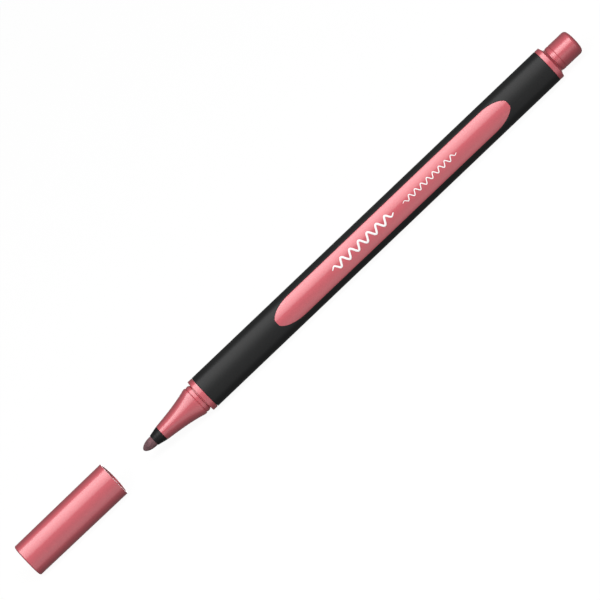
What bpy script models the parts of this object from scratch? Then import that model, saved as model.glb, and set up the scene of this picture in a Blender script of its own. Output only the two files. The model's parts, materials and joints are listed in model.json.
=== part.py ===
"""A fibre-tip marker pen with a pull-off cap, lying along X on a surface.

Metres, +Z up. The nib points towards -X, and the cap lies in line with the pen in front
of it, pulled off. The origin is on the surface, under the middle of the whole length.

The barrel and the cap are rounded triangles in section, and the pen lies on one of their
three faces. The nib end and the rear plug are round.
"""

import math

import bmesh
import bpy
from mathutils import Matrix

# Section of the barrel and cap, as shares of half its width. A face is a wide arc that
# turns through twice FACE_HALF_ANGLE, and a corner arc of CORNER_SHARE joins two faces.
FACE_ANGLES = [math.radians(degrees) for degrees in (60, 180, 300)]
FACE_HALF_ANGLE = math.radians(19.5)
CORNER_SHARE = 0.606
FACE_FLATS = 5
CORNER_FLATS = 6
ARC_STEPS = 3

# Driving half widths
CAP_MOUTH_RADIUS = 0.00496
CAP_END_RADIUS = 0.00480
BODY_RADIUS = 0.00479

# Clearances
FIT_GAP = 0.00015
SEAT_GAP = 0.0001

# Stations along the pen, from the nib to the plug
NIB_TIP_X = -0.0543
NIB_SHOULDER_X = -0.0507
FERRULE_BACK_X = -0.04805
CONE_BACK_X = -0.03685
COLLAR_FRONT_X = -0.03465
SLEEVE_FRONT_X = -0.0332
SLEEVE_BACK_X = 0.0849
COLLAR_EDGE_X = 0.0863
BARREL_BACK_X = 0.08695
PLUG_BODY_X = 0.08745
PLUG_SEAM_X = 0.0884
PLUG_END_X = 0.09435

# Nib: a rod of bonded fibre with a bullet point
NIB_RADIUS = 0.00142
NIB_POINT_LENGTH = 0.0025
NIB_BACK_X = -0.0190
NIB_POINT_STEPS = 7

# Ferrule: the black holder around the nib
FERRULE_BORE = NIB_RADIUS + 0.00008
FERRULE_TIP_RADIUS = 0.00156
FERRULE_BACK_RADIUS = 0.00215
FERRULE_SPIGOT_RADIUS = 0.00178
FERRULE_SPIGOT_BACK_X = -0.0395

# Front section: a flared cone, two snap beads for the cap, and a collar
CONE_TIP_RADIUS = 0.00218
CONE_BACK_RADIUS = 0.00406
CONE_CUBIC_SHARE = 0.31
CONE_STEPS = 8
BEAD_RADIUS = 0.00410
BEAD_SETBACK = 0.0003
GROOVE_RADIUS = 0.00396
GROOVE_SETBACK = 0.0009
SECOND_BEAD_RADIUS = 0.00401
SECOND_BEAD_SETBACK = 0.0012
SHOULDER_RADIUS = 0.00393
UNDERCUT_RADIUS = 0.00378
UNDERCUT_LENGTH = 0.0002
COLLAR_ROUNDING = 0.00025
SPIGOT_RADIUS = 0.00275
SPIGOT_BORE = 0.00215
SPIGOT_BACK_X = -0.0262

# Barrel: a tube with raised pads that fill the sleeve's windows, and a rear collar
BARREL_RADIUS = 0.00394
BARREL_BORE = SPIGOT_RADIUS + FIT_GAP
COLLAR_CHAMFER = 0.0002
COLLAR_BACK_RADIUS = 0.00378
COLLAR_BACK_TRIANGLE = 0.0020

# Sleeve: soft rubber over the barrel, with a long window in each face
SLEEVE_BORE = BARREL_RADIUS + FIT_GAP
WINDOW_FRONT_X = -0.00825
WINDOW_BACK_X = 0.07115
WINDOW_HALF_WIDTH = 0.00326
WINDOW_TIP_HALF_WIDTH = 0.00080
WINDOW_TAPER_LENGTH = 0.00700
WINDOW_TAPER_STEPS = 7
PAD_ROOT_RADIUS = 0.0037
CUTTER_LOW = 0.0023
CUTTER_HIGH = 0.0062

# Ink store: a fibre wick in a film wrap
WICK_RADIUS = 0.00250
WICK_FRONT_X = -0.0255
WICK_BACK_X = 0.0785
WICK_SOCKET = NIB_RADIUS + SEAT_GAP
WRAP_THICKNESS = 0.00015

# End plug
PLUG_RADIUS = 0.00355
PLUG_ROUNDING = 0.0007
PLUG_RING_RADIUS = 0.00366
PLUG_RING_WIDTH = 0.00025
PLUG_NECK_RADIUS = 0.00340
PLUG_SEAM_DEPTH = 0.0001
PLUG_SPIGOT_FRONT_X = 0.0796
PLUG_END_WALL = 0.0014

# Cap, measured back from its mouth
CAP_MOUTH_X = -0.06445
CAP_LENGTH = PLUG_END_X + CAP_MOUTH_X
CAP_BORE = 0.00422
CAP_END_WALL = 0.0014
CAP_END_ROUNDING = 0.0004
CAP_RIM_ROUNDING = 0.00015

# Inner seal: a cup pressed into the cap, whose lip closes on the cone behind the ferrule
SEAL_BASE_RADIUS = CAP_BORE - FIT_GAP
SEAL_BASE_LENGTH = 0.0042
SEAL_TUBE_RADIUS = 0.0033
SEAL_MOUTH_RADIUS = 0.0031
SEAL_BORE = 0.00275
SEAL_LIP_BORE = 0.00255
SEAL_LIP_LENGTH = 0.0012
SEAL_LENGTH = 0.0167
SEAL_FLOOR = 0.0010

ROSE = (0.60, 0.135, 0.155)
BLACK = (0.018, 0.018, 0.019)
FIBRE = (0.21, 0.11, 0.125)
WICK = (0.55, 0.22, 0.24)
FILM = (0.75, 0.74, 0.70)
SEAL_ROSE = (0.16, 0.05, 0.06)
PLASTIC_ROUGHNESS = 0.35
PLASTIC_METALLIC = 0.35


def triangle_point(angle):
    """The point where the unit rounded triangle faces this way, as (y, z).

    The angle runs from straight up towards +Y. The unit triangle is 2 wide across.
    """
    face = min(FACE_ANGLES, key=lambda a: abs(math.remainder(angle - a, 2 * math.pi)))
    lean = math.remainder(angle - face, 2 * math.pi)
    side = 1 - CORNER_SHARE
    spread = side / math.sin(FACE_HALF_ANGLE)
    if abs(lean) <= FACE_HALF_ANGLE:
        radius = CORNER_SHARE + spread
        across = 0.0
        centre = side / math.tan(math.radians(60)) - spread * math.cos(FACE_HALF_ANGLE)
    else:
        radius = CORNER_SHARE
        across = math.copysign(side, lean)
        centre = side / math.tan(math.radians(60))
    across += radius * math.sin(lean)
    out = centre + radius * math.cos(lean)
    return (
        out * math.sin(face) + across * math.cos(face),
        out * math.cos(face) - across * math.sin(face),
    )


def facing_angles():
    """Angles that split each face and each corner evenly, so one flat faces straight down."""
    angles = []
    corner = math.radians(120) - 2 * FACE_HALF_ANGLE
    for face in FACE_ANGLES:
        for i in range(FACE_FLATS + 1):
            angles.append(face + FACE_HALF_ANGLE * (2 * i / FACE_FLATS - 1))
        for i in range(1, CORNER_FLATS):
            angles.append(face + FACE_HALF_ANGLE + corner * i / CORNER_FLATS)
    return angles


def section(radius, triangle):
    """The (y, z) points of one ring, a mix of a rounded triangle and a circle.

    radius is half the ring's width, and triangle is how much of it is triangular: 0 gives
    a circle, and an equal value the full triangle. A larger value than the radius is the
    triangle drawn in by an even distance all round.
    """
    points = []
    for angle in facing_angles():
        y, z = triangle_point(angle)
        points.append((
            triangle * y + (radius - triangle) * math.sin(angle),
            triangle * z + (radius - triangle) * math.cos(angle),
        ))
    return points


AXIS_HEIGHT = -min(z for y, z in section(CAP_MOUTH_RADIUS, CAP_MOUTH_RADIUS))


def clear_scene():
    """Remove the objects that a new file starts with."""
    for obj in list(bpy.data.objects):
        bpy.data.objects.remove(obj, do_unlink=True)


def material(name, colour, roughness, metallic=0.0):
    """A plain finish for one piece."""
    finish = bpy.data.materials.new(name)
    finish.use_nodes = True
    shader = finish.node_tree.nodes["Principled BSDF"]
    shader.inputs["Base Color"].default_value = (*colour, 1.0)
    shader.inputs["Roughness"].default_value = roughness
    shader.inputs["Metallic"].default_value = metallic
    return finish


def rose_plastic(name):
    """The metallic rose that the casings share."""
    return material(name, ROSE, PLASTIC_ROUGHNESS, PLASTIC_METALLIC)


def axis_empty(name, x):
    """An empty on the pen's axis, which carries the pieces of one body."""
    empty = bpy.data.objects.new(name, None)
    empty.location = (x, 0, AXIS_HEIGHT)
    bpy.context.scene.collection.objects.link(empty)
    return empty


def arc(x, radius, size, start, end, triangle):
    """Profile points on an arc about (x, radius), with angles in degrees from +X."""
    points = []
    for i in range(ARC_STEPS + 1):
        angle = math.radians(start + (end - start) * i / ARC_STEPS)
        points.append((x + size * math.cos(angle), radius + size * math.sin(angle), triangle))
    return points


def add_object(name, bm, parent, finish=None):
    """Turn a bmesh into a named object that hangs on its body's empty."""
    bmesh.ops.recalc_face_normals(bm, faces=bm.faces)
    mesh = bpy.data.meshes.new(name)
    bm.to_mesh(mesh)
    bm.free()
    mesh.shade_smooth()
    mesh.set_sharp_from_angle(angle=math.radians(30))
    if finish:
        mesh.materials.append(finish)
    obj = bpy.data.objects.new(name, mesh)
    obj.parent = parent
    bpy.context.scene.collection.objects.link(obj)
    return obj


def lofted(name, profile, parent, finish=None, ring=False):
    """Join sections along the axis, one for each (x, radius, triangle) of the profile.

    A solid's profile starts and ends on the axis. A ring's profile closes on itself.
    """
    bm = bmesh.new()
    rows = []
    for x, radius, triangle in profile:
        if radius:
            rows.append([bm.verts.new((x, y, z)) for y, z in section(radius, triangle)])
        else:
            rows.append([bm.verts.new((x, 0, 0))])
    following = rows[1:] + rows[:1] if ring else rows[1:]
    for row, after in zip(rows, following):
        count = max(len(row), len(after))
        for i in range(count):
            j = (i + 1) % count
            corners = [row[i % len(row)], row[j % len(row)], after[j % len(after)], after[i % len(after)]]
            bm.faces.new(dict.fromkeys(corners))
    return add_object(name, bm, parent, finish)


def hide_helper(obj):
    """Keep a cutter or other helper out of the model."""
    obj.hide_render = True
    obj.display_type = "WIRE"


def boolean(obj, other, operation):
    """Combine a piece with a helper."""
    modifier = obj.modifiers.new(other.name, "BOOLEAN")
    modifier.operation = operation
    modifier.solver = "EXACT"
    modifier.object = other


def window_outline(gap):
    """The window's outline as (x, across) points, drawn in by a gap all round.

    Each end tapers along a quarter ellipse, cut off by a short straight edge.
    """
    tip_share = math.sqrt(1 - (WINDOW_TIP_HALF_WIDTH / WINDOW_HALF_WIDTH) ** 2)
    half_axis = WINDOW_TAPER_LENGTH / tip_share
    last = math.asin(tip_share)
    quarter = []
    for i in range(WINDOW_TAPER_STEPS + 1):
        angle = last * i / WINDOW_TAPER_STEPS
        along = (half_axis - gap) * math.sin(angle)
        quarter.append((along, (WINDOW_HALF_WIDTH - gap) * math.cos(angle)))
    back = WINDOW_BACK_X - WINDOW_TAPER_LENGTH
    front = WINDOW_FRONT_X + WINDOW_TAPER_LENGTH
    outline = [(back + x, y) for x, y in quarter]
    outline += [(back + x, -y) for x, y in reversed(quarter)]
    outline += [(front - x, -y) for x, y in quarter]
    outline += [(front - x, y) for x, y in reversed(quarter)]
    return outline


def window_prisms(name, gap, parent):
    """The window's outline, extruded outwards through each of the three faces."""
    bm = bmesh.new()
    for angle in FACE_ANGLES:
        low = [bm.verts.new((x, across, CUTTER_LOW)) for x, across in window_outline(gap)]
        grown = bmesh.ops.extrude_face_region(bm, geom=[bm.faces.new(low)])["geom"]
        high = [item for item in grown if isinstance(item, bmesh.types.BMVert)]
        bmesh.ops.translate(bm, verts=high, vec=(0, 0, CUTTER_HIGH - CUTTER_LOW))
        turn = Matrix.Rotation(-angle, 3, "X")
        bmesh.ops.rotate(bm, verts=low + high, cent=(0, 0, 0), matrix=turn)
    prisms = add_object(name, bm, parent)
    hide_helper(prisms)
    return prisms


def make_nib(pen):
    """A fibre rod. Its point is half an ellipsoid, and its back end sits in the wick."""
    profile = [(NIB_TIP_X, 0, 0)]
    for i in range(1, NIB_POINT_STEPS + 1):
        angle = math.pi / 2 * i / NIB_POINT_STEPS
        x = NIB_TIP_X + NIB_POINT_LENGTH * (1 - math.cos(angle))
        profile.append((x, NIB_RADIUS * math.sin(angle), 0))
    profile += [(NIB_BACK_X, NIB_RADIUS, 0), (NIB_BACK_X, 0, 0)]
    lofted("nib", profile, pen, material("nib_fibre", FIBRE, 0.85))


def make_ferrule(pen):
    """A short cone around the nib, with a spigot inside the front section."""
    seat = FERRULE_BACK_X - SEAT_GAP / 2
    profile = [
        (NIB_SHOULDER_X, FERRULE_BORE, 0),
        (FERRULE_SPIGOT_BACK_X, FERRULE_BORE, 0),
        (FERRULE_SPIGOT_BACK_X, FERRULE_SPIGOT_RADIUS, 0),
        (seat, FERRULE_SPIGOT_RADIUS, 0),
        (seat, FERRULE_BACK_RADIUS, 0),
        (NIB_SHOULDER_X, FERRULE_TIP_RADIUS, 0),
    ]
    lofted("nib_ferrule", profile, pen, material("ferrule_plastic", BLACK, 0.45), ring=True)


def cone_section(share):
    """Half width and triangle of the cone: round at its tip, triangular at the beads."""
    rise = (1 - CONE_CUBIC_SHARE) * share + CONE_CUBIC_SHARE * share**3
    radius = CONE_TIP_RADIUS + (CONE_BACK_RADIUS - CONE_TIP_RADIUS) * rise
    return radius, radius * math.sqrt(share) * BODY_RADIUS / CONE_BACK_RADIUS


def make_front_section(pen):
    """Cone, beads, undercut, collar and the spigot that plugs into the barrel."""
    tip = FERRULE_BACK_X + SEAT_GAP / 2
    outer = []
    for i in range(CONE_STEPS + 1):
        share = i / CONE_STEPS
        outer.append((tip + (CONE_BACK_X - tip) * share, *cone_section(share)))
    outer += [
        (CONE_BACK_X + BEAD_SETBACK, BEAD_RADIUS, BODY_RADIUS),
        (CONE_BACK_X + GROOVE_SETBACK, GROOVE_RADIUS, BODY_RADIUS),
        (CONE_BACK_X + SECOND_BEAD_SETBACK, SECOND_BEAD_RADIUS, BODY_RADIUS),
        (COLLAR_FRONT_X - UNDERCUT_LENGTH, SHOULDER_RADIUS, BODY_RADIUS),
        (COLLAR_FRONT_X - UNDERCUT_LENGTH / 2, UNDERCUT_RADIUS, BODY_RADIUS),
        (COLLAR_FRONT_X, UNDERCUT_RADIUS, BODY_RADIUS),
    ]
    edge = BODY_RADIUS - COLLAR_ROUNDING
    outer += arc(COLLAR_FRONT_X + COLLAR_ROUNDING, edge, COLLAR_ROUNDING, 180, 90, BODY_RADIUS)
    face = SLEEVE_FRONT_X - SEAT_GAP / 2
    outer += [
        (face, BODY_RADIUS, BODY_RADIUS),
        (face, SPIGOT_RADIUS, 0),
        (SPIGOT_BACK_X, SPIGOT_RADIUS, 0),
    ]
    bore = FERRULE_SPIGOT_RADIUS + FIT_GAP / 2
    inner = [
        (SPIGOT_BACK_X, SPIGOT_BORE, 0),
        (COLLAR_FRONT_X, SPIGOT_BORE, 0),
        (FERRULE_SPIGOT_BACK_X + SEAT_GAP, bore, 0),
        (tip, bore, 0),
    ]
    lofted("front_section", outer + inner, pen, rose_plastic("front_section_rose"), ring=True)


def make_barrel(pen):
    """The inner tube with its rear collar, and the pads that fill the three windows."""
    front = SLEEVE_FRONT_X + SEAT_GAP / 2
    collar = SLEEVE_BACK_X + SEAT_GAP / 2
    profile = [
        (front, BARREL_RADIUS, BODY_RADIUS),
        (collar, BARREL_RADIUS, BODY_RADIUS),
        (collar, BODY_RADIUS, BODY_RADIUS),
        (COLLAR_EDGE_X, BODY_RADIUS, BODY_RADIUS),
        (COLLAR_EDGE_X + COLLAR_CHAMFER, BODY_RADIUS - COLLAR_CHAMFER, BODY_RADIUS),
        (BARREL_BACK_X, COLLAR_BACK_RADIUS, COLLAR_BACK_TRIANGLE),
        (BARREL_BACK_X, BARREL_BORE, 0),
        (front, BARREL_BORE, 0),
    ]
    barrel = lofted("barrel_tube", profile, pen, rose_plastic("barrel_rose"), ring=True)
    shell = [
        (WINDOW_FRONT_X, BODY_RADIUS, BODY_RADIUS),
        (WINDOW_BACK_X, BODY_RADIUS, BODY_RADIUS),
        (WINDOW_BACK_X, PAD_ROOT_RADIUS, BODY_RADIUS),
        (WINDOW_FRONT_X, PAD_ROOT_RADIUS, BODY_RADIUS),
    ]
    pads = lofted("pads", shell, pen, ring=True)
    hide_helper(pads)
    boolean(pads, window_prisms("pad_outlines", FIT_GAP, pen), "INTERSECT")
    boolean(barrel, pads, "UNION")


def make_sleeve(pen):
    """The soft rubber tube, cut through by the window outline in each face."""
    front = SLEEVE_FRONT_X + SEAT_GAP / 2
    back = SLEEVE_BACK_X - SEAT_GAP / 2
    profile = [
        (front, BODY_RADIUS, BODY_RADIUS),
        (back, BODY_RADIUS, BODY_RADIUS),
        (back, SLEEVE_BORE, BODY_RADIUS),
        (front, SLEEVE_BORE, BODY_RADIUS),
    ]
    sleeve = lofted("rubber_sleeve", profile, pen, material("sleeve_rubber", BLACK, 0.6), ring=True)
    boolean(sleeve, window_prisms("window_outlines", 0.0, pen), "DIFFERENCE")


def make_ink_store(pen):
    """The wick with a socket for the nib, and the film wrapped round it."""
    socket = NIB_BACK_X + SEAT_GAP
    wick = [
        (socket, 0, 0),
        (socket, WICK_SOCKET, 0),
        (WICK_FRONT_X, WICK_SOCKET, 0),
        (WICK_FRONT_X, WICK_RADIUS, 0),
        (WICK_BACK_X, WICK_RADIUS, 0),
        (WICK_BACK_X, 0, 0),
    ]
    lofted("ink_wick", wick, pen, material("wick_fibre", WICK, 0.9))
    bore = WICK_RADIUS + SEAT_GAP
    wrap = [
        (WICK_FRONT_X, bore + WRAP_THICKNESS, 0),
        (WICK_BACK_X, bore + WRAP_THICKNESS, 0),
        (WICK_BACK_X, bore, 0),
        (WICK_FRONT_X, bore, 0),
    ]
    lofted("wick_wrap", wrap, pen, material("wrap_film", FILM, 0.25), ring=True)


def make_end_plug(pen):
    """The rear button: a rounded end, a fine seam, a small ring, and a hollow spigot."""
    end = PLUG_END_X - PLUG_ROUNDING
    seam = PLUG_SEAM_DEPTH
    ring = BARREL_BACK_X + SEAT_GAP
    floor = PLUG_END_X - PLUG_END_WALL
    profile = [(PLUG_END_X, 0, 0)]
    profile += arc(end, PLUG_RADIUS - PLUG_ROUNDING, PLUG_ROUNDING, 0, 90, 0)
    profile += [
        (PLUG_SEAM_X + seam, PLUG_RADIUS, 0),
        (PLUG_SEAM_X, PLUG_RADIUS - seam, 0),
        (PLUG_SEAM_X - seam, PLUG_RADIUS, 0),
        (PLUG_BODY_X, PLUG_RADIUS, 0),
        (PLUG_BODY_X, PLUG_NECK_RADIUS, 0),
        (ring + PLUG_RING_WIDTH, PLUG_NECK_RADIUS, 0),
        (ring + PLUG_RING_WIDTH, PLUG_RING_RADIUS, 0),
        (ring, PLUG_RING_RADIUS, 0),
        (ring, SPIGOT_RADIUS, 0),
        (PLUG_SPIGOT_FRONT_X, SPIGOT_RADIUS, 0),
        (PLUG_SPIGOT_FRONT_X, SPIGOT_BORE, 0),
        (floor, SPIGOT_BORE, 0),
        (floor, 0, 0),
    ]
    lofted("end_plug", profile, pen, rose_plastic("plug_rose"))


def make_cap(cap):
    """The cap's shell, drafted a little wider towards its mouth, with a plain bore."""
    floor = -CAP_LENGTH + CAP_END_WALL
    closed = -CAP_LENGTH + CAP_END_ROUNDING
    rounding = CAP_END_ROUNDING
    profile = [(-CAP_LENGTH, 0, 0)]
    profile += arc(closed, CAP_END_RADIUS - rounding, rounding, 180, 90, CAP_END_RADIUS)
    profile += [
        (-CAP_RIM_ROUNDING, CAP_MOUTH_RADIUS, CAP_MOUTH_RADIUS),
        (0, CAP_MOUTH_RADIUS - CAP_RIM_ROUNDING, CAP_MOUTH_RADIUS),
        (0, CAP_BORE, BODY_RADIUS),
        (floor, CAP_BORE, BODY_RADIUS),
        (floor, 0, 0),
    ]
    lofted("cap_shell", profile, cap, rose_plastic("cap_rose"))


def make_seal(cap):
    """The inner cup: a base pressed into the cap, and a thin round tube with a lip."""
    back = -CAP_LENGTH + CAP_END_WALL + SEAT_GAP
    base = back + SEAL_BASE_LENGTH
    lip = back + SEAL_LENGTH
    floor = back + SEAL_FLOOR
    profile = [
        (back, 0, 0),
        (back, SEAL_BASE_RADIUS, BODY_RADIUS),
        (base, SEAL_BASE_RADIUS, BODY_RADIUS),
        (base, SEAL_TUBE_RADIUS, 0),
        (lip, SEAL_MOUTH_RADIUS, 0),
        (lip, SEAL_LIP_BORE, 0),
        (lip - SEAL_LIP_LENGTH, SEAL_BORE, 0),
        (floor, SEAL_BORE, 0),
        (floor, 0, 0),
    ]
    lofted("cap_inner_seal", profile, cap, material("seal_plastic", SEAL_ROSE, 0.5))


def main():
    clear_scene()
    pen = axis_empty("pen_axis", 0)
    cap = axis_empty("cap_axis", CAP_MOUTH_X)
    make_nib(pen)
    make_ferrule(pen)
    make_front_section(pen)
    make_barrel(pen)
    make_sleeve(pen)
    make_ink_store(pen)
    make_end_plug(pen)
    make_cap(cap)
    make_seal(cap)


main()
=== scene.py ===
# %% [markdown]
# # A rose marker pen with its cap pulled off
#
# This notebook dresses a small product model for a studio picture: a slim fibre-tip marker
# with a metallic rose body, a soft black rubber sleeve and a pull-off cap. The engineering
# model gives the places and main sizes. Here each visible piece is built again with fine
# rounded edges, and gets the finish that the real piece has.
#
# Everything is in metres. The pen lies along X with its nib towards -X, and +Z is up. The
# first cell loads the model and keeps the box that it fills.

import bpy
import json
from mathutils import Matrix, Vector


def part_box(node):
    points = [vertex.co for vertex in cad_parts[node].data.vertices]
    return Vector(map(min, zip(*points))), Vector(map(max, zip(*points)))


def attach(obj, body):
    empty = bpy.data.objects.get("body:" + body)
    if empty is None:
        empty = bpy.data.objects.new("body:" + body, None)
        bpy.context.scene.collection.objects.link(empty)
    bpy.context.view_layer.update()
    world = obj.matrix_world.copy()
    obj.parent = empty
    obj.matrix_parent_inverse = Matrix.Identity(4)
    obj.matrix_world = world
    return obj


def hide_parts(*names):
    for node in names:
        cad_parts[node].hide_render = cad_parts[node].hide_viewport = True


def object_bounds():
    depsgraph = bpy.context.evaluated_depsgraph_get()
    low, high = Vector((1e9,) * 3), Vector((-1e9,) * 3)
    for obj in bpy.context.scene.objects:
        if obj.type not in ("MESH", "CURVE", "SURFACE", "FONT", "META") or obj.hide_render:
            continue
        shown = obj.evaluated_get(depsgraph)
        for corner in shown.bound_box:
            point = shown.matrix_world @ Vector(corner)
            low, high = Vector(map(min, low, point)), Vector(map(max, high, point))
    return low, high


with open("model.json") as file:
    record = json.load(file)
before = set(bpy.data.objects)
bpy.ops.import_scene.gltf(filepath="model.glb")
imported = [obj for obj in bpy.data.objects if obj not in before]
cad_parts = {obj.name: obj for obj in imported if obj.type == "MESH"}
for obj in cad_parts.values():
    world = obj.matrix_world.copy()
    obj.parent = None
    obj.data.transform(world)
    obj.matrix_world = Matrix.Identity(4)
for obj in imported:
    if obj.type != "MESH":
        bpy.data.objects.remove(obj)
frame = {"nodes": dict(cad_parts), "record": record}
cad_low, cad_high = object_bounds()
print("model box, mm:", [round(1000 * side, 2) for side in cad_high - cad_low])

# %% [markdown]
# ## Modules and units
#
# `bpy` is Blender itself and `bmesh` builds its meshes. Sizes are quoted in millimetres and
# multiplied by `MM`, so that each number reads as it would on a drawing.

# %% Modules and units
import json
import math
import random

import bmesh
import bpy
from mathutils import Matrix, Vector

MM = 0.001
print("pieces in the model:", sorted(frame["nodes"]))

# %% [markdown]
# ## Stations along the axis
#
# A pen is a stack of pieces on one axis, so two kinds of number describe all of it: stations
# along the axis and half widths around it. The main ones are read from the model's own
# boxes, so a change of size there carries through to here. Finer ones, such as a bead or a
# lip, are set beside the piece that they belong to.


# %% Read the stations
def span(node):
    """Where a piece starts and ends along X, and half its width."""
    low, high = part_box(node)
    return low.x, high.x, (high.y - low.y) / 2


cap_back, cap_mouth, _ = span("cap_shell")
nib_tip, nib_back, nib_radius = span("nib")
ferrule_front, ferrule_back, ferrule_radius = span("nib_ferrule")
section_front, section_back, body_radius = span("front_section")
sleeve_front, sleeve_back, _ = span("rubber_sleeve")
barrel_front, barrel_back, _ = span("barrel_tube")
spigot_front, plug_back, _ = span("end_plug")
seal_back, seal_front, _ = span("cap_inner_seal")
mounts = {mount["name"]: mount for mount in frame["record"]["mounts"]}
axis_height = mounts["cap_end_face"]["pos_m"][2]
print("the axis is", round(axis_height / MM, 2), "mm above the table")
print("the sleeve runs from", round(sleeve_front / MM, 2), "to", round(sleeve_back / MM, 2), "mm")

# %% [markdown]
# ## A three-sided section
#
# The nib, ferrule and rear plug are round, but the barrel and cap are rounded triangles: the
# three wide faces suit three fingers and keep the pen from rolling. It lies on one face.
#
# Both shapes come from one idea. Every point of an outline is found by the way that its
# surface faces. A circle has one such point for each angle, and so has a rounded triangle:
# a wide arc for each face, and a tight arc for each corner. A weighted mix of the two gives
# everything between them, which the cone needs, and adding a circle of negative size draws
# a triangle in by an even distance, which a wall needs.

# %% Points of the rounded triangle
FACES = [math.radians(degrees) for degrees in (60, 180, 300)]
PRINTED_FACE = FACES[2]
FACE_HALF_ANGLE = math.radians(19.5)
CORNER = 0.606
SIDE = 1 - CORNER
SPREAD = SIDE / math.sin(FACE_HALF_ANGLE)
CORNER_OUT = SIDE / math.tan(math.radians(60))
FACE_OUT = CORNER_OUT - SPREAD * math.cos(FACE_HALF_ANGLE)


def face_point(lean, radius, triangle):
    """(across, out) of the point that leans this far from a face's middle."""
    if abs(lean) <= FACE_HALF_ANGLE:
        across, out, size = 0.0, FACE_OUT, CORNER + SPREAD
    else:
        across, out, size = math.copysign(SIDE, lean), CORNER_OUT, CORNER
    size = size * triangle + radius - triangle
    return across * triangle + size * math.sin(lean), out * triangle + size * math.cos(lean)


def section_point(x, angle, radius, triangle):
    """A point of the outline at x. The angle runs from straight up towards +Y."""
    face = min(FACES, key=lambda a: abs(math.remainder(angle - a, 2 * math.pi)))
    lean = math.remainder(angle - face, 2 * math.pi)
    across, out = face_point(lean, radius, triangle)
    return (
        x,
        out * math.sin(face) + across * math.cos(face),
        out * math.cos(face) - across * math.sin(face),
    )


def lean_at(across, radius, triangle):
    """How far the surface leans, at a distance across from a face's middle."""
    flat = (CORNER + SPREAD) * triangle + radius - triangle
    if abs(across) <= flat * math.sin(FACE_HALF_ANGLE):
        return math.asin(across / flat)
    tight = CORNER * triangle + radius - triangle
    return math.copysign(math.asin((abs(across) - SIDE * triangle) / tight), across)


top, bottom = [section_point(0, angle, body_radius, body_radius)[2] for angle in (0, math.pi)]
print("the barrel is", round(2 * body_radius / MM, 2), "mm wide")
print("and", round((top - bottom) / MM, 2), "mm deep")

# %% [markdown]
# ## Lofting
#
# Blender's Screw modifier could turn the round pieces, but not the three-sided ones, so all
# of them are lofted: a profile lists stations along the axis, each with its half width and
# how much of it is triangular, and faces join one ring of points to the next. `rounded`
# first turns each corner of the profile into a small arc, because no moulded edge is truly
# sharp, and it is the rounding that catches the light.

# %% Round the corners of a profile
ROUNDING_STEPS = 6


def rounded(corners):
    """Replace each (x, radius, triangle, rounding) corner with an arc tangent to its sides."""
    points = [Vector(corner[:2]) for corner in corners]
    profile = []
    for i, corner in enumerate(points):
        triangle = corners[i][2]
        size = corners[i][3] if len(corners[i]) > 3 else 0
        if not size or i in (0, len(points) - 1):
            profile.append((*corner, triangle))
            continue
        before = (points[i - 1] - corner).normalized()
        after = (points[i + 1] - corner).normalized()
        half = before.angle(after) / 2
        reach = size / math.tan(half)
        centre = corner + (before + after).normalized() * size / math.sin(half)
        start = corner + before * reach - centre
        sweep = start.angle_signed(corner + after * reach - centre)
        for step in range(ROUNDING_STEPS + 1):
            turn = Matrix.Rotation(-sweep * step / ROUNDING_STEPS, 2)
            profile.append((*(centre + turn @ start), triangle))
    return profile


demo = rounded([(0, 0, 0), (0, 2, 0, 0.5), (4, 2, 0)])
print("a rounded corner:", [(round(x, 2), round(r, 2)) for x, r, _ in demo])

# %% [markdown]
# ## From profile to object
#
# A profile becomes rings of points, and the rings become a mesh of four-sided faces. Shading
# is smooth except across edges sharper than 38 degrees, and the Weighted Normal modifier
# keeps tiny roundings from tinting the long sides next to them. `put` then hangs each piece
# on the body that it moves with, and hides the pieces of the model that it stands for.

# %% Make meshes and objects
FACE_STEPS = 16
CORNER_STEPS = 28
SHARP_ANGLE = math.radians(38)
FACE_WEIGHT = 80
TINY = 1e-6


def ring_angles():
    """Angles round a section, closer together on the corners than on the faces."""
    angles = []
    turn = math.radians(120) - 2 * FACE_HALF_ANGLE
    for face in FACES:
        edge = face + FACE_HALF_ANGLE
        angles += [face + FACE_HALF_ANGLE * (2 * i / FACE_STEPS - 1) for i in range(FACE_STEPS)]
        angles += [edge + turn * i / CORNER_STEPS for i in range(CORNER_STEPS)]
    return angles


def make_object(name, bm, material=None):
    """Finish a bmesh as a smooth-shaded object whose origin is on the pen's axis."""
    bmesh.ops.recalc_face_normals(bm, faces=bm.faces)
    mesh = bpy.data.meshes.new(name)
    bm.to_mesh(mesh)
    bm.free()
    mesh.shade_smooth()
    mesh.set_sharp_from_angle(angle=SHARP_ANGLE)
    if material:
        mesh.materials.append(material)
    obj = bpy.data.objects.new(name, mesh)
    obj.location.z = axis_height
    bpy.context.scene.collection.objects.link(obj)
    return obj


def even_shading(obj):
    """Let large faces set the shading, so that a tiny rounding doesn't tint a long side."""
    modifier = obj.modifiers.new("even_shading", "WEIGHTED_NORMAL")
    modifier.keep_sharp = True
    modifier.weight = FACE_WEIGHT


def loft(name, profile, material, ring=False):
    """Join the sections of a profile. A ring's profile closes on itself."""
    bm = bmesh.new()
    rows = []
    for x, radius, triangle in profile:
        points = [section_point(x, angle, radius, triangle) for angle in ring_angles()]
        rows.append([bm.verts.new(point) for point in (points if radius > TINY else [(x, 0, 0)])])
    for row, after in zip(rows, rows[1:] + rows[:1] if ring else rows[1:]):
        count = max(len(row), len(after))
        for i in range(count):
            # A row on the axis is one point, which all its neighbours share.
            steps = (row, i), (row, i + 1), (after, i + 1), (after, i)
            bm.faces.new(dict.fromkeys(line[step % len(line)] for line, step in steps))
    obj = make_object(name, bm, material)
    even_shading(obj)
    return obj


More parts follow.
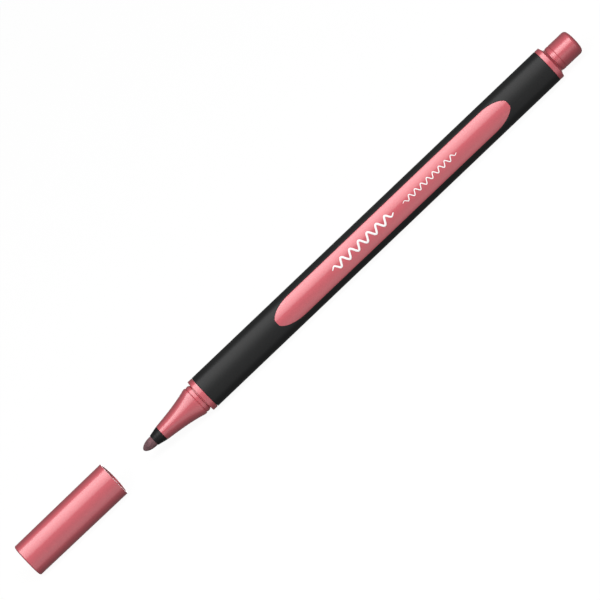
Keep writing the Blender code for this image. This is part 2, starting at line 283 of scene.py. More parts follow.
def put(obj, body, slot, *replaced):
    """Say which body a piece rides on and which model pieces it stands for. The slot is not used.
    """
    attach(obj, body)
    if replaced:
        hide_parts(*replaced)
    print(obj.name, "rides on", body, "and stands for", replaced or "nothing")


print("a ring has", len(ring_angles()), "points")

# %% [markdown]
# ## Colour and nodes
#
# Colours are written as the hex values a designer would quote. Blender's shaders work in
# linear light, so `linear` undoes the sRGB curve. `add` is the only helper for shader nodes:
# it makes any node, sets its properties and fills its inputs with values or links.


# %% Helpers for materials
def linear(hex_colour):
    """An sRGB hex colour as linear RGBA."""
    channels = [int(hex_colour[i : i + 2], 16) / 255 for i in (1, 3, 5)]
    curve = [c / 12.92 if c <= 0.04045 else ((c + 0.055) / 1.055) ** 2.4 for c in channels]
    return (*curve, 1.0)


def add(tree, kind, inputs=None, **settings):
    """Add a shader node with its settings, input values and links."""
    node = tree.nodes.new("ShaderNode" + kind)
    for name, value in settings.items():
        setattr(node, name, value)
    for socket, value in (inputs or {}).items():
        if isinstance(value, bpy.types.NodeSocket):
            tree.links.new(value, node.inputs[socket])
        else:
            node.inputs[socket].default_value = value
    return node


def new_material(name):
    """An empty material and its Principled shader."""
    material = bpy.data.materials.new(name)
    material.use_nodes = True
    return material, material.node_tree, material.node_tree.nodes["Principled BSDF"]


print("mid grey in linear light:", round(linear("#808080")[0], 3))

# %% [markdown]
# ### Metallic rose plastic
#
# The cap, cone, barrel and plug are injection-moulded in one plastic: a clear ABS-like resin
# filled with rose pigment and fine aluminium flake. The flakes lie roughly along the surface,
# so they catch a lamp as one broad tinted band and fall off quickly on both sides of it, as
# on a car's paint. The smooth mould leaves a skin of clear resin over them, which reflects
# the same lamp as a whiter, sharper band on top.
#
# Two shaders could be mixed by hand, but one Principled shader has both layers: a fully
# metallic base, rough because the flakes lie unevenly, and a coat with the index of a clear
# resin. Flakes are about 0.03 mm across, far too fine to show, so they are drawn at 0.2 mm
# with very little contrast. Flow lines follow the melt along the pen.

# %% Make the rose plastic
FLAKE = 0.20 * MM
FLOW_WIDTH = 1.2 * MM
FLOW_STRETCH = 0.08
ROSE_DEEP = "#c6646e"
ROSE_PALE = "#ce6a73"


def rose_plastic():
    """Flake-filled plastic with a clear moulded skin."""
    material, tree, shader = new_material("rose_flake_plastic_moulded")
    place = add(tree, "TexCoord").outputs["Object"]
    along = add(tree, "Mapping", {"Vector": place, "Scale": (FLOW_STRETCH, 1, 1)})
    flow = add(tree, "TexNoise", {
        "Vector": along.outputs[0], "Scale": 1 / FLOW_WIDTH, "Detail": 3.0,
    }).outputs[0]
    flake = add(tree, "TexVoronoi", {"Vector": place, "Scale": 1 / FLAKE})
    grey = add(tree, "SeparateColor", {"Color": flake.outputs["Color"]}).outputs[0]
    blend = add(tree, "Math", {0: flow, 1: grey, 2: flow}, operation="MULTIPLY_ADD")
    tint = add(tree, "MapRange", {"Value": blend.outputs[0], "From Min": 0.35, "From Max": 1.15})
    colour = add(tree, "Mix", {
        "Factor": tint.outputs[0], "A": linear(ROSE_DEEP), "B": linear(ROSE_PALE),
    }, data_type="RGBA")
    polish = add(tree, "MapRange", {"Value": flow, "To Min": 0.67, "To Max": 0.75})
    relief = add(tree, "Bump", {"Height": grey, "Strength": 0.03, "Distance": 0.01 * MM})
    tree.links.new(colour.outputs["Result"], shader.inputs["Base Color"])
    tree.links.new(polish.outputs[0], shader.inputs["Roughness"])
    tree.links.new(relief.outputs[0], shader.inputs["Normal"])
    shader.inputs["Metallic"].default_value = 1.0
    shader.inputs["Coat Weight"].default_value = 1.0
    shader.inputs["Coat Roughness"].default_value = 0.125
    shader.inputs["Coat IOR"].default_value = 1.6
    return material


rose = rose_plastic()
print("made", rose.name, "with", len(rose.node_tree.nodes), "nodes")

# %% [markdown]
# ### Soft-touch rubber
#
# The sleeve is a thermoplastic rubber moulded over the barrel. Its mould is spark-eroded, so
# the skin is covered in fine pits about a tenth of a millimetre wide. They scatter the light
# into one wide, faint sheen with no clear reflection.
#
# Real pits in the mesh would need millions of faces. A bump from a fine noise does the same,
# drawn at 0.25 mm, since finer pits would not show. A larger noise gives the faint clouding
# that handling leaves.

# %% Make the rubber
RUBBER_GRAIN = 0.25 * MM
RUBBER_CLOUD = 9 * MM
RUBBER_BLACK = "#151516"
RUBBER_GREY = "#191a1a"


def soft_rubber():
    """Matt black rubber with an eroded grain."""
    material, tree, shader = new_material("black_rubber_eroded")
    place = add(tree, "TexCoord").outputs["Object"]
    grain = add(tree, "TexNoise", {"Vector": place, "Scale": 1 / RUBBER_GRAIN, "Detail": 4.0})
    cloud = add(tree, "TexNoise", {"Vector": place, "Scale": 1 / RUBBER_CLOUD, "Detail": 2.0})
    colour = add(tree, "Mix", {
        "Factor": cloud.outputs[0], "A": linear(RUBBER_BLACK), "B": linear(RUBBER_GREY),
    }, data_type="RGBA")
    polish = add(tree, "MapRange", {"Value": grain.outputs[0], "To Min": 0.41, "To Max": 0.49})
    relief = add(tree, "Bump", {
        "Height": grain.outputs[0], "Strength": 0.25, "Distance": 0.02 * MM,
    })
    tree.links.new(colour.outputs["Result"], shader.inputs["Base Color"])
    tree.links.new(polish.outputs[0], shader.inputs["Roughness"])
    tree.links.new(relief.outputs[0], shader.inputs["Normal"])
    shader.inputs["Specular IOR Level"].default_value = 0.25
    return material


rubber = soft_rubber()
print("made", rubber.name)

# %% [markdown]
# ### Black polypropylene
#
# The ferrule is a small moulding in plain black polypropylene. It has a satin shine, and
# very fine turning marks from its mould run round it. They could be cut into the profile, but
# bands of a wave texture, in the bump and the roughness, give the same glint. Real marks are
# about 0.1 mm apart, too fine to show, so they are drawn at about 0.75 mm. Blender's wave
# texture repeats every 2 pi / 20 of its scaled length, which the scale allows for.

# %% Make the ferrule's plastic
TURNING_PITCH = 0.754 * MM
WAVE_PERIOD = 2 * math.pi / 20
FERRULE_BLACK = "#161617"


def black_plastic():
    """Satin black plastic with turning marks."""
    material, tree, shader = new_material("black_polypropylene_moulded")
    place = add(tree, "TexCoord").outputs["Object"]
    marks = add(tree, "TexWave", {
        "Vector": place, "Scale": WAVE_PERIOD / TURNING_PITCH, "Distortion": 0.6, "Detail": 1.0,
    }, bands_direction="X").outputs["Fac"]
    polish = add(tree, "MapRange", {"Value": marks, "To Min": 0.38, "To Max": 0.46})
    relief = add(tree, "Bump", {"Height": marks, "Strength": 0.08, "Distance": 0.01 * MM})
    tree.links.new(polish.outputs[0], shader.inputs["Roughness"])
    tree.links.new(relief.outputs[0], shader.inputs["Normal"])
    shader.inputs["Base Color"].default_value = linear(FERRULE_BLACK)
    shader.inputs["Specular IOR Level"].default_value = 0.20
    return material


ferrule_black = black_plastic()
print("made", ferrule_black.name)

# %% [markdown]
# ### Bonded fibre
#
# The nib is thousands of acrylic fibres bonded side by side into a rod and ground to a
# bullet. Its ends and sides show as fine lengthwise streaks, some pale and some soaked dark
# with ink, and it has no shine at all. Hair strands could build it one fibre at a time. A
# noise stretched along the pen gives the same streaks with no extra mesh. The real fibres are
# 0.02 mm thick, too fine to show, and are drawn here at 0.12 mm. The wick inside the barrel
# is the same idea, softer and paler.

# %% Make the fibres
FIBRE_WIDTH = 0.12 * MM
FIBRE_STRETCH = 0.06
SOAKED_PATCH = 1.5 * MM


def bonded_fibre(name, dark, pale, strength):
    """Dull lengthwise fibres between a dark and a pale colour."""
    material, tree, shader = new_material(name)
    place = add(tree, "TexCoord").outputs["Object"]
    along = add(tree, "Mapping", {"Vector": place, "Scale": (FIBRE_STRETCH, 1, 1)})
    fibre = add(tree, "TexNoise", {
        "Vector": along.outputs[0], "Scale": 1 / FIBRE_WIDTH, "Detail": 2.0,
    }).outputs[0]
    soak = add(tree, "TexNoise", {"Vector": place, "Scale": 1 / SOAKED_PATCH, "Detail": 3.0})
    both = add(tree, "Math", {0: fibre, 1: soak.outputs[0]}, operation="ADD")
    tint = add(tree, "MapRange", {"Value": both.outputs[0], "From Min": 0.7, "From Max": 1.3})
    colour = add(tree, "Mix", {
        "Factor": tint.outputs[0], "A": linear(dark), "B": linear(pale),
    }, data_type="RGBA")
    relief = add(tree, "Bump", {"Height": fibre, "Strength": strength, "Distance": 0.03 * MM})
    tree.links.new(colour.outputs["Result"], shader.inputs["Base Color"])
    tree.links.new(relief.outputs[0], shader.inputs["Normal"])
    shader.inputs["Roughness"].default_value = 0.85
    shader.inputs["Sheen Weight"].default_value = 0.1
    return material


nib_fibre = bonded_fibre("acrylic_fibre_bonded", "#50383c", "#7d565c", strength=0.5)
wick_fibre = bonded_fibre("polyester_fibre_bundled", "#b0525c", "#d98d94", strength=0.4)
print("made", nib_fibre.name, "and", wick_fibre.name)

# %% [markdown]
# ### Film, seal and print
#
# Three small finishes are left. The wick is wrapped in a thin clear film, the cap's inner
# seal is a soft moulded plastic in a darker rose, and the barrel carries a little white
# pad-printed ink. Printing ink dries slightly uneven, which a faint mottle shows. The three
# differ only in their colours, polish and size of mottle, so one function makes them all.


# %% Make the small finishes
def mottled(name, dark, pale, roughness, size):
    """An opaque finish with a soft mottle of one size."""
    material, tree, shader = new_material(name)
    place = add(tree, "TexCoord").outputs["Object"]
    mottle = add(tree, "TexNoise", {"Vector": place, "Scale": 1 / size, "Detail": 3.0})
    colour = add(tree, "Mix", {
        "Factor": mottle.outputs[0], "A": linear(dark), "B": linear(pale),
    }, data_type="RGBA")
    relief = add(tree, "Bump", {
        "Height": mottle.outputs[0], "Strength": 0.1, "Distance": 0.01 * MM,
    })
    tree.links.new(colour.outputs["Result"], shader.inputs["Base Color"])
    tree.links.new(relief.outputs[0], shader.inputs["Normal"])
    shader.inputs["Roughness"].default_value = roughness
    return material


film = mottled("polypropylene_film_rolled", "#b9b3aa", "#d3cec6", 0.2, 2 * MM)
film.node_tree.nodes["Principled BSDF"].inputs["Alpha"].default_value = 0.6
seal_plastic = mottled("rose_polyethylene_moulded", "#552c30", "#63353a", 0.45, 0.6 * MM)
white_ink = mottled("white_ink_pad_printed", "#e6e2e2", "#f5f2f2", 0.4, 0.3 * MM)
print("made", film.name, seal_plastic.name, white_ink.name)

# %% [markdown]
# ## The nib
#
# A bullet nib is ground on a spinning wheel, so its point is round but never perfect. It
# could be sculpted, but a formula is easier to change: it is lofted from a slightly pointed
# ellipse, and each line of points along it is then nudged by a few thousandths of a
# millimetre, so that fibres stand a little proud of one another.

# %% Grind the nib
NIB_POINT = 3.1 * MM
NIB_TAPER = 1.12
NIB_STEPS = 20
FIBRE_NUDGE = 0.012 * MM
FIBRE_DRAW = 7


def make_nib():
    """The rod with its bullet point, roughened fibre by fibre."""
    profile = [(nib_tip, 0, 0)]
    for i in range(1, NIB_STEPS + 1):
        angle = math.pi / 2 * i / NIB_STEPS
        along = NIB_POINT * (1 - math.cos(angle))
        profile.append((nib_tip + along, nib_radius * math.sin(angle) ** NIB_TAPER, 0))
    profile += [(x, nib_radius, 0) for x in (nib_tip + 2 * NIB_POINT, nib_back)]
    profile.append((nib_back, 0, 0))
    nib = loft("nib_bullet", profile, nib_fibre)
    draw = random.Random(FIBRE_DRAW)
    nudges = [draw.uniform(-FIBRE_NUDGE, 0) for _ in ring_angles()]
    for i, vertex in enumerate(nib.data.vertices[1:-1]):
        x, y, z = vertex.co
        share = 1 + nudges[i % len(nudges)] / nib_radius
        vertex.co = (x, y * share, z * share)
    return nib


put(make_nib(), "pen", "nib_fibre", "nib")

# %% [markdown]
# ## Ferrule and front section
#
# The black ferrule grips the nib and sits in the end of the rose cone. The cone is slim and
# round at the nib, and becomes three-sided as it flares towards the barrel, where two low
# beads make the cap click on. Behind them an undercut and a collar close the barrel's front.
# Both pieces are one closed profile each, out along the outside and back along the bore, so
# that the wall, the spigot and the mouth all come from the same list.

# %% Loft the ferrule
FERRULE_TIP = 1.56 * MM
FERRULE_SPIGOT = 1.78 * MM
PART_LINE = 0.06 * MM
ferrule_seat = section_front - PART_LINE


def make_ferrule():
    """A short cone with a rounded lip, and the spigot behind it."""
    bore = nib_radius + 0.03 * MM
    corners = [
        (ferrule_front + 0.3 * MM, bore, 0),
        (ferrule_front, bore, 0, 0.03 * MM),
        (ferrule_front, FERRULE_TIP, 0, 0.05 * MM),
        (ferrule_seat, ferrule_radius, 0, 0.04 * MM),
        (ferrule_seat, FERRULE_SPIGOT, 0),
        (ferrule_back, FERRULE_SPIGOT, 0),
        (ferrule_back, bore, 0),
    ]
    return loft("ferrule_cone", rounded(corners), ferrule_black, ring=True)


put(make_ferrule(), "pen", "ferrule_plastic", "nib_ferrule")

# %% Loft the front section
CONE_TIP = 2.18 * MM
CONE_END = 4.12 * MM
CONE_LENGTH = 11.15 * MM
CONE_CUBIC = 0.31
CONE_STEPS = 28
BEAD = 4.17 * MM
COLLAR_LENGTH = 1.45 * MM
UNDERCUT = BEAD - 0.42 * MM
SPIGOT = 2.75 * MM
SPIGOT_BORE = 2.15 * MM


def cone_section(share):
    """Half width and triangle: round at the tip, three-sided at the beads."""
    rise = (1 - CONE_CUBIC) * share + CONE_CUBIC * share**3
    radius = CONE_TIP + (CONE_END - CONE_TIP) * rise
    return radius, radius * share**2 * body_radius / CONE_END


def make_front_section():
    """Cone, two beads, undercut, collar and spigot."""
    collar_back = sleeve_front - PART_LINE
    collar_front = collar_back - COLLAR_LENGTH
    bead = section_front + CONE_LENGTH
    bore = FERRULE_SPIGOT + 0.06 * MM
    body = body_radius
    corners = [(section_front, bore, 0), (section_front, CONE_TIP, 0, 0.06 * MM)]
    for i in range(1, CONE_STEPS + 1):
        share = i / CONE_STEPS
        corners.append((section_front + CONE_LENGTH * share, *cone_section(share)))
    corners += [
        (bead + 0.30 * MM, BEAD, body, 0.30 * MM),
        (bead + 0.70 * MM, BEAD - 0.10 * MM, body, 0.08 * MM),
        (bead + 0.80 * MM, BEAD - 0.27 * MM, body, 0.03 * MM),
        (bead + 0.92 * MM, BEAD - 0.14 * MM, body, 0.08 * MM),
        (bead + 1.35 * MM, BEAD - 0.12 * MM, body, 0.30 * MM),
        (collar_front - 0.32 * MM, BEAD - 0.22 * MM, body, 0.08 * MM),
        (collar_front - 0.22 * MM, UNDERCUT, body, 0.04 * MM),
        (collar_front, UNDERCUT, body, 0.04 * MM),
        (collar_front, body, body, 0.18 * MM),
        (collar_back, body, body, 0.06 * MM),
        (collar_back, SPIGOT, 0),
        (section_back, SPIGOT, 0, 0.2 * MM),
        (section_back, SPIGOT_BORE, 0),
        (collar_front, SPIGOT_BORE, 0),
        (ferrule_back + 0.2 * MM, bore, 0),
    ]
    return loft("front_cone", rounded(corners), rose, ring=True)


put(make_front_section(), "pen", "rose_plastic", "front_section")

# %% [markdown]
# ## Windows in the sleeve
#
# In each face the rubber is cut away in a long window, and the rose barrel rises through it
# as a pad, level with the rubber. A Boolean cut would leave ragged faces round such a curve.
# Instead the sheet is laid out in columns that follow the window's edge: each column leans
# the same share of the way from the edge to the corner of the section. The edge is a
# straight run with half an ellipse at each end, cut short by a small flat.

# %% The window's outline
WINDOW_FRONT = -8.25 * MM
WINDOW_BACK = 71.15 * MM
WINDOW_HALF = 3.26 * MM
WINDOW_TIP_HALF = 0.80 * MM
WINDOW_TAPER = 7.0 * MM
TAPER_STEPS = 22
STRAIGHT_STEPS = 20


def window_stations(grow=0.0):
    """(x, half width) along the window, from tip to tip, grown by a margin all round."""
    cut = math.sqrt(1 - (WINDOW_TIP_HALF / WINDOW_HALF) ** 2)
    half_axis = WINDOW_TAPER / cut
    last = math.asin(cut)
    angles = [last * i / TAPER_STEPS for i in range(TAPER_STEPS + 1)]
    widest = WINDOW_HALF + grow
    taper = [((half_axis + grow) * math.sin(a), widest * math.cos(a)) for a in angles]
    front = WINDOW_FRONT + WINDOW_TAPER
    back = WINDOW_BACK - WINDOW_TAPER
    straight = [front + (back - front) * i / STRAIGHT_STEPS for i in range(1, STRAIGHT_STEPS)]
    stations = [(front - along, half) for along, half in reversed(taper)]
    stations += [(x, widest) for x in straight]
    stations += [(back + along, half) for along, half in taper]
    return stations


print("the window is", round((WINDOW_BACK - WINDOW_FRONT) / MM, 1), "mm long")


# %% Lay a sheet on the pen's surface
def grid(bm, rows):
    """Join rows of points into quads. A row may hold None where there is no surface."""
    made = [[bm.verts.new(p) if p else None for p in row] for row in rows]
    for low, high in zip(made, made[1:]):
        for a, b, c, d in zip(low, low[1:], high[1:], high):
            if a and b and c and d:
                bm.faces.new((a, b, c, d))


def add_thickness(obj, thickness, rounding):
    """Give a sheet its thickness, inwards, and round the edges that this makes."""
    solid = obj.modifiers.new("thickness", "SOLIDIFY")
    solid.thickness = thickness
    solid.offset = -1
    edge = obj.modifiers.new("edge", "BEVEL")
    edge.width = rounding
    edge.segments = 4
    edge.limit_method = "ANGLE"
    edge.angle_limit = math.radians(60)
    even_shading(obj)


# %% [markdown]
# ## The sleeve
#
# The sleeve is a rubber skin 0.7 mm thick. It could be laid out all the way round in one go,
# but its three faces are alike, and so are both halves of each. So one sixth is laid out,
# mirrored and turned to all of them, welded along the seams, and only then thickened.

# %% Mould the sleeve
TIP_COLUMNS = 5
SIDE_COLUMNS = 26
SLEEVE_THICKNESS = 0.70 * MM
SLEEVE_EDGE = 0.05 * MM
PLAIN_STEP = 4 * MM
CORNER_LEAN = math.radians(60)


def sleeve_leans(half_width, open_window):
    """How far each column leans, from a face's middle round to the next corner's middle."""
    edge = lean_at(half_width, body_radius, body_radius)
    side = [edge + (CORNER_LEAN - edge) * i / SIDE_COLUMNS for i in range(SIDE_COLUMNS + 1)]
    tip = [None if open_window else edge * i / TIP_COLUMNS for i in range(TIP_COLUMNS)]
    return tip + side


def plain_stations(start, end):
    """Evenly spread stations where the sleeve has no window."""
    count = max(2, round((end - start) / PLAIN_STEP))
    return [start + (end - start) * i / count for i in range(count + 1)]


def make_sleeve():
    """One sixth's columns, mirrored and turned to all three faces."""
    window = window_stations()
    rows = [(x, window[0][1], False) for x in plain_stations(sleeve_front, window[0][0])]
    rows += [(x, half, True) for x, half in window[1:-1]]
    rows += [(x, window[-1][1], False) for x in plain_stations(window[-1][0], sleeve_back)]
    bm = bmesh.new()
    for face in FACES:
        for side in (1, -1):
            sixth = []
            for x, half, opened in rows:
                leans = sleeve_leans(half, opened)
                sixth.append([
                    None if lean is None
                    else section_point(x, face + side * lean, body_radius, body_radius)
                    for lean in leans
                ])
            grid(bm, sixth)
    bmesh.ops.remove_doubles(bm, verts=bm.verts, dist=TINY)
    sleeve = make_object("sleeve_skin", bm, rubber)
    add_thickness(sleeve, SLEEVE_THICKNESS, SLEEVE_EDGE)
    return sleeve


put(make_sleeve(), "pen", "sleeve_rubber", "rubber_sleeve")

# %% [markdown]
# ## The barrel and its pads
#
# The barrel is one moulding: a tube with a collar at the rear and the three pads that fill
# the windows. The pads are laid out like the sleeve, in columns between the two edges, so
# that the light runs along them without a ripple. A hairline gap and a small rounding are
# left all round, as where one plastic is moulded onto another.

# %% Mould the pads
PAD_GAP = 0.03 * MM
PAD_COLUMNS = 36
PAD_DEPTH = 0.95 * MM
PAD_EDGE = 0.06 * MM


def patch(bm, stations, radius, face):
    """A strip of one face between two edges, given as (x, half width) stations."""
    rows = []
    for x, half in stations:
        edge = lean_at(half, radius, body_radius)
        leans = [edge * (2 * i / PAD_COLUMNS - 1) for i in range(PAD_COLUMNS + 1)]
        rows.append([section_point(x, face + lean, radius, body_radius) for lean in leans])
    grid(bm, rows)


def make_pads():
    """The three pads, as sheets that get their thickness inwards."""
    bm = bmesh.new()
    for face in FACES:
        patch(bm, window_stations(-PAD_GAP), body_radius, face)
    pads = make_object("barrel_pads", bm, rose)
    add_thickness(pads, PAD_DEPTH, PAD_EDGE)
    return pads


put(make_pads(), "pen", "rose_plastic")

# %% Loft the barrel
BARREL_RADIUS = 3.94 * MM
BARREL_BORE = 2.90 * MM
COLLAR_EDGE = 86.22 * MM
CHAMFER_BACK = 86.84 * MM
CHAMFER_RADIUS = 3.62 * MM
LIP_RADIUS = 3.58 * MM
LIP_TRIANGLE = 1.6 * MM


def make_barrel():
    """The tube under the sleeve, with the collar and its chamfer behind."""
    collar_front = sleeve_back + PART_LINE
    corners = [
        (barrel_front, BARREL_BORE, 0),
        (barrel_front, BARREL_RADIUS, body_radius, 0.1 * MM),
        (collar_front, BARREL_RADIUS, body_radius),
        (collar_front, body_radius, body_radius, 0.06 * MM),
        (COLLAR_EDGE, body_radius, body_radius, 0.15 * MM),
        (CHAMFER_BACK, CHAMFER_RADIUS, LIP_TRIANGLE, 0.05 * MM),
        (barrel_back, LIP_RADIUS, LIP_TRIANGLE, 0.04 * MM),
        (barrel_back, BARREL_BORE, 0),
    ]
    return loft("barrel_with_collar", rounded(corners), rose, ring=True)


put(make_barrel(), "pen", "rose_plastic", "barrel_tube")

# %% [markdown]
# ## Pad print
#
# The face that is seen first carries a mark in white ink. A pad printer presses a soft
# silicone pad with a film of ink onto the curved surface. The mark here is a plain squiggle,
# as anyone draws to try a marker: a bold wave, then a fine one. An image could be wrapped
# round the barrel, but a ribbon of real faces keeps its edges crisp from any distance. Ink is
# too thin to show, so it is drawn 0.03 mm thick, on a ribbon that follows the face.

# %% Print the squiggle
INK_LIFT = 0.02 * MM
INK_DEPTH = 0.03 * MM
WAVE_STEPS = 24
WAVE_ENDS = 8
THINNEST = 0.45
STROKE_SIDES = (-0.5, -0.17, 0.17, 0.5)


def wave(start, end, count, height, width):
    """(x, across, stroke width) along a wave that swells in its first and last eighth."""
    points = []
    for i in range(count * WAVE_STEPS + 1):
        share = i / (count * WAVE_STEPS)
        swell = math.sin(math.pi * min(1.0, WAVE_ENDS * share, WAVE_ENDS * (1 - share)) / 2)
        across = height * swell * math.sin(2 * math.pi * count * share)
        stroke = width * (THINNEST + (1 - THINNEST) * swell)
        points.append((start + (end - start) * share, across, stroke))
    return points


def ribbon(bm, points):
    """A flat stroke of changing width that lies on the printed face."""
    inked = body_radius + INK_LIFT
    rows = []
    for i, (x, across, width) in enumerate(points):
        before = points[max(i - 1, 0)]
        after = points[min(i + 1, len(points) - 1)]
        along = Vector((after[0] - before[0], after[1] - before[1])).normalized()
        row = []
        for side in STROKE_SIDES:
            lean = lean_at(across + along.x * side * width, inked, body_radius)
            place = x - along.y * side * width
            row.append(section_point(place, PRINTED_FACE + lean, inked, body_radius))
        rows.append(row)
    grid(bm, rows)


def make_print():
    """The bold wave and the fine one."""
    bm = bmesh.new()
    bold = wave(10.8 * MM, 31.8 * MM, count=7, height=0.95 * MM, width=0.55 * MM)
    fine = wave(35.0 * MM, 53.4 * MM, count=9, height=0.60 * MM, width=0.28 * MM)
    ribbon(bm, bold)
    ribbon(bm, fine)
    mark = make_object("printed_squiggle", bm, white_ink)
    solid = mark.modifiers.new("thickness", "SOLIDIFY")
    solid.thickness = INK_DEPTH
    solid.offset = -1
    return mark


put(make_print(), "pen", "print_ink")

# %% [markdown]
# ## End plug
#
# The plug closes the barrel and gives the pen its small rear button. A dark neck shows where
# it meets the collar, and a fine line round it marks where two halves of its mould met. The
# line could be a bump, but at a rim it has to notch the outline too, so it is in the profile.

# %% Loft the plug
PLUG_RADIUS = 3.55 * MM
PLUG_NECK = 3.40 * MM
PLUG_FRONT = 87.25 * MM
PLUG_SEAM = 88.4 * MM
SEAM_WIDTH = 0.09 * MM
PLUG_WALL = 1.4 * MM


def make_plug():
    """Rounded end, seam, neck and spigot."""
    neck = barrel_back + PART_LINE
    corners = [
        (plug_back, 0, 0),
        (plug_back, PLUG_RADIUS, 0, 1.15 * MM),
        (PLUG_SEAM + SEAM_WIDTH, PLUG_RADIUS, 0, 0.03 * MM),
        (PLUG_SEAM, PLUG_RADIUS - SEAM_WIDTH, 0),
        (PLUG_SEAM - SEAM_WIDTH, PLUG_RADIUS + 0.01 * MM, 0, 0.03 * MM),
        (PLUG_FRONT, PLUG_RADIUS + 0.02 * MM, 0, 0.06 * MM),
        (PLUG_FRONT, PLUG_NECK, 0),
        (neck, PLUG_NECK, 0),
        (neck, SPIGOT, 0),
        (spigot_front, SPIGOT, 0, 0.2 * MM),
        (spigot_front, SPIGOT_BORE, 0),
        (plug_back - PLUG_WALL, SPIGOT_BORE, 0, 0.3 * MM),
        (plug_back - PLUG_WALL, 0, 0),
    ]
    return loft("rear_button", rounded(corners), rose)


put(make_plug(), "pen", "rose_plastic", "end_plug")

# %% [markdown]
# ## Cap
#
# The cap is a drafted cup: a little wider at the mouth so that it leaves its mould. Its
# closed end is flat with a small rounding, and carries the round mark of the gate through
# which the plastic was injected. The rim is thin and slightly rounded. A solid could be
# hollowed with a Boolean, but one profile that goes out along the outside and back along the
# bore keeps every edge clean.

# %% Loft the cap
CAP_BORE = 4.22 * MM
CAP_MOUTH = 4.99 * MM
CAP_END = 4.83 * MM
GATE_RADIUS = 0.7 * MM
GATE_DEPTH = 0.12 * MM
CAP_WALL = 1.4 * MM


def make_cap():
    """Shell with a gate mark, a plain bore and a leading edge inside the rim."""
    floor = cap_back + CAP_WALL
    corners = [
        (cap_back + GATE_DEPTH, 0, 0),
        (cap_back + GATE_DEPTH, GATE_RADIUS - GATE_DEPTH, 0, 0.05 * MM),
        (cap_back, GATE_RADIUS, 0, 0.05 * MM),
        (cap_back, CAP_END, CAP_END, 0.4 * MM),
        (cap_mouth, CAP_MOUTH, CAP_MOUTH, 0.08 * MM),
        (cap_mouth, CAP_BORE + 0.25 * MM, body_radius, 0.06 * MM),
        (cap_mouth - 0.45 * MM, CAP_BORE, body_radius, 0.2 * MM),
        (floor, CAP_BORE, body_radius, 0.3 * MM),
        (floor, 0, 0),
    ]
    return loft("cap_cup", rounded(corners), rose)


put(make_cap(), "cap", "rose_plastic", "cap_shell")

# %% [markdown]
# ## Inner seal
#
# The nib would dry out if air reached it, so a soft cup inside the cap closes on the cone.
# The cup could be left out, since it is hidden, but it shows when the cap is cut open. It is
# lofted like the cap, with a wide three-sided base and a round tube.

# %% Loft the inner seal
SEAL_BASE = 4.07 * MM
SEAL_BASE_LENGTH = 4.2 * MM
SEAL_TUBE = 3.3 * MM
SEAL_BORE = 2.75 * MM
SEAL_LIP = 2.55 * MM
SEAL_LIP_LENGTH = 1.2 * MM
SEAL_FLOOR = 1.0 * MM


def make_seal():
    """A cup with a wide base pressed into the cap, and a round tube with a lip."""
    base = seal_back + SEAL_BASE_LENGTH
    corners = [
        (seal_back, 0, 0),
        (seal_back, SEAL_BASE, body_radius, 0.3 * MM),
        (base, SEAL_BASE, body_radius, 0.2 * MM),
        (base, SEAL_TUBE, 0, 0.2 * MM),
        (seal_front, SEAL_TUBE - 0.2 * MM, 0, 0.15 * MM),
        (seal_front, SEAL_LIP, 0, 0.15 * MM),
        (seal_front - SEAL_LIP_LENGTH, SEAL_BORE, 0, 0.4 * MM),
        (seal_back + SEAL_FLOOR, SEAL_BORE, 0, 0.4 * MM),
        (seal_back + SEAL_FLOOR, 0, 0),
    ]
    return loft("inner_seal_cup", rounded(corners), seal_plastic)


put(make_seal(), "cap", "seal_plastic", "cap_inner_seal")

# %% [markdown]
# ## Wick and film
#
# The wick is a bundle of fibre that stores the ink, in a sleeve of thin film. They could be
# built again like the rest, but the barrel hides them, so they stay as the engineering model
# has them. They only get their finishes, so that the pen is right when it is cut open.

# %% Dress the hidden pieces
for node, finish in (("ink_wick", wick_fibre), ("wick_wrap", film)):
    hidden = frame["nodes"][node]
    hidden.data.materials.clear()
    hidden.data.materials.append(finish)
    print(node, "is", finish.name)

# %% [markdown]
# ## Stage, light and camera
#
# The pen lies on a plain white sweep, on one of its faces, and the camera looks squarely at
# the printed face. One long softbox above the camera makes the pale band along every piece,
# and a weaker one below it opens the shadows. A pale sheet would reflect in the glossy sides
# and wash out their dark edges, so it is hidden from reflections, as black flags do in a
# studio. Its one useful bounce, up onto the far side, comes from a third lamp.
#
# The sheet could be lit until it is white, but the lamps that suit the pen don't reach that.
# It is dark and glows by itself instead, so that it stays evenly white under any lamp.

# %% Lay the floor
FLOOR_SIZE = 6.0
FLOOR_GAP = 0.02 * MM
FLOOR_GLOW = 0.95
PAPER_DARK = "#3c3c3c"
PAPER_PALE = "#404040"
PAPER_MOTTLE = 25 * MM


def make_floor():
    """A dark sheet just under the pen that glows evenly, so that it looks white."""
    bm = bmesh.new()
    bmesh.ops.create_grid(bm, x_segments=1, y_segments=1, size=FLOOR_SIZE / 2)
    floor = make_object("floor", bm)
    floor.location.z = cad_low.z - FLOOR_GAP
    material, tree, shader = new_material("white_paper_sweep")
    place = add(tree, "TexCoord").outputs["Object"]
    mottle = add(tree, "TexNoise", {"Vector": place, "Scale": 1 / PAPER_MOTTLE})
    colour = add(tree, "Mix", {
        "Factor": mottle.outputs[0], "A": linear(PAPER_DARK), "B": linear(PAPER_PALE),
    }, data_type="RGBA")
    tree.links.new(colour.outputs["Result"], shader.inputs["Base Color"])
    shader.inputs["Roughness"].default_value = 0.9
    shader.inputs["Specular IOR Level"].default_value = 0.0
    shader.inputs["Emission Color"].default_value = (1, 1, 1, 1)
    shader.inputs["Emission Strength"].default_value = FLOOR_GLOW
    floor.data.materials.append(material)
    floor.visible_glossy = False
    floor.visible_diffuse = False
    floor.visible_shadow = False
    return floor


print("the floor is at", round(make_floor().location.z / MM, 2), "mm")

